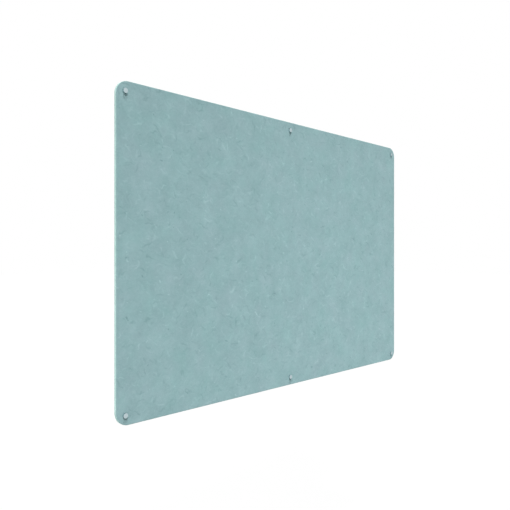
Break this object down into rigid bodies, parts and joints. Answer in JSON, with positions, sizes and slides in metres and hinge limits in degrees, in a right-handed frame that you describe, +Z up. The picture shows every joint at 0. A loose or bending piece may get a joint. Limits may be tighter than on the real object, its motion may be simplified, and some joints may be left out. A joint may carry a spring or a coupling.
{
  "type": "wall pinboard",
  "caption": "Frameless grey-green felt pinboard with rounded corners, a flat panel held to a wall by round satin-metal fixings whose caps screw onto threaded bases",
  "frame": {"origin": "middle of the panel's back face, the face that lies on the wall", "axes": "+X along the width, from left to right as a reader sees it; +Y into the wall; +Z up"},
  "size_m": [1.8, 0.0481, 1.2],
  "materials": {
    "felt": "matte",
    "satin_metal": "satin",
    "turned_metal": "satin",
    "zinc_screw": "satin",
    "nylon": "matte",
    "plug_plastic": "matte"
  },
  "bodies": {
    "board": {"felt_panel": "felt", "wall_plug_top_left": "plug_plastic", "spacer_sleeve_top_left": "nylon", "screw_top_left": "zinc_screw", "threaded_base_top_left": "turned_metal", "wall_plug_top_middle": "plug_plastic", "spacer_sleeve_top_middle": "nylon", "screw_top_middle": "zinc_screw", "threaded_base_top_middle": "turned_metal", "wall_plug_top_right": "plug_plastic", "spacer_sleeve_top_right": "nylon", "screw_top_right": "zinc_screw", "threaded_base_top_right": "turned_metal", "wall_plug_bottom_left": "plug_plastic", "spacer_sleeve_bottom_left": "nylon", "screw_bottom_left": "zinc_screw", "threaded_base_bottom_left": "turned_metal", "wall_plug_bottom_middle": "plug_plastic", "spacer_sleeve_bottom_middle": "nylon", "screw_bottom_middle": "zinc_screw", "threaded_base_bottom_middle": "turned_metal", "wall_plug_bottom_right": "plug_plastic", "spacer_sleeve_bottom_right": "nylon", "screw_bottom_right": "zinc_screw", "threaded_base_bottom_right": "turned_metal"},
    "washer_top_left": {"cap_washer_top_left": "nylon"},
    "cap_top_left": {"cap_top_left": "satin_metal"},
    "washer_top_middle": {"cap_washer_top_middle": "nylon"},
    "cap_top_middle": {"cap_top_middle": "satin_metal"},
    "washer_top_right": {"cap_washer_top_right": "nylon"},
    "cap_top_right": {"cap_top_right": "satin_metal"},
    "washer_bottom_left": {"cap_washer_bottom_left": "nylon"},
    "cap_bottom_left": {"cap_bottom_left": "satin_metal"},
    "washer_bottom_middle": {"cap_washer_bottom_middle": "nylon"},
    "cap_bottom_middle": {"cap_bottom_middle": "satin_metal"},
    "washer_bottom_right": {"cap_washer_bottom_right": "nylon"},
    "cap_bottom_right": {"cap_bottom_right": "satin_metal"}
  },
  "joints": [
    {"name": "cap_travel_top_left", "type": "slide", "parent": "board", "child": "washer_top_left", "axis": [0, -1, 0], "range_m": [0, 0.002]},
    {"name": "cap_turn_top_left", "type": "hinge", "parent": "washer_top_left", "child": "cap_top_left", "pos_m": [-0.864, -0.01, 0.564], "axis": [0, -1, 0], "range_deg": [0, 720]},
    {"name": "cap_travel_top_middle", "type": "slide", "parent": "board", "child": "washer_top_middle", "axis": [0, -1, 0], "range_m": [0, 0.002]},
    {"name": "cap_turn_top_middle", "type": "hinge", "parent": "washer_top_middle", "child": "cap_top_middle", "pos_m": [0, -0.01, 0.564], "axis": [0, -1, 0], "range_deg": [0, 720]},
    {"name": "cap_travel_top_right", "type": "slide", "parent": "board", "child": "washer_top_right", "axis": [0, -1, 0], "range_m": [0, 0.002]},
    {"name": "cap_turn_top_right", "type": "hinge", "parent": "washer_top_right", "child": "cap_top_right", "pos_m": [0.864, -0.01, 0.564], "axis": [0, -1, 0], "range_deg": [0, 720]},
    {"name": "cap_travel_bottom_left", "type": "slide", "parent": "board", "child": "washer_bottom_left", "axis": [0, -1, 0], "range_m": [0, 0.002]},
    {"name": "cap_turn_bottom_left", "type": "hinge", "parent": "washer_bottom_left", "child": "cap_bottom_left", "pos_m": [-0.864, -0.01, -0.564], "axis": [0, -1, 0], "range_deg": [0, 720]},
    {"name": "cap_travel_bottom_middle", "type": "slide", "parent": "board", "child": "washer_bottom_middle", "axis": [0, -1, 0], "range_m": [0, 0.002]},
    {"name": "cap_turn_bottom_middle", "type": "hinge", "parent": "washer_bottom_middle", "child": "cap_bottom_middle", "pos_m": [0, -0.01, -0.564], "axis": [0, -1, 0], "range_deg": [0, 720]},
    {"name": "cap_travel_bottom_right", "type": "slide", "parent": "board", "child": "washer_bottom_right", "axis": [0, -1, 0], "range_m": [0, 0.002]},
    {"name": "cap_turn_bottom_right", "type": "hinge", "parent": "washer_bottom_right", "child": "cap_bottom_right", "pos_m": [0.864, -0.01, -0.564], "axis": [0, -1, 0], "range_deg": [0, 720]}
  ],
  "couplings": [
    {"joint": "cap_travel_top_left", "follows": "cap_turn_top_left", "m_per_rad": 0.00015915},
    {"joint": "cap_travel_top_middle", "follows": "cap_turn_top_middle", "m_per_rad": 0.00015915},
    {"joint": "cap_travel_top_right", "follows": "cap_turn_top_right", "m_per_rad": 0.00015915},
    {"joint": "cap_travel_bottom_left", "follows": "cap_turn_bottom_left", "m_per_rad": 0.00015915},
    {"joint": "cap_travel_bottom_middle", "follows": "cap_turn_bottom_middle", "m_per_rad": 0.00015915},
    {"joint": "cap_travel_bottom_right", "follows": "cap_turn_bottom_right", "m_per_rad": 0.00015915}
  ]
}
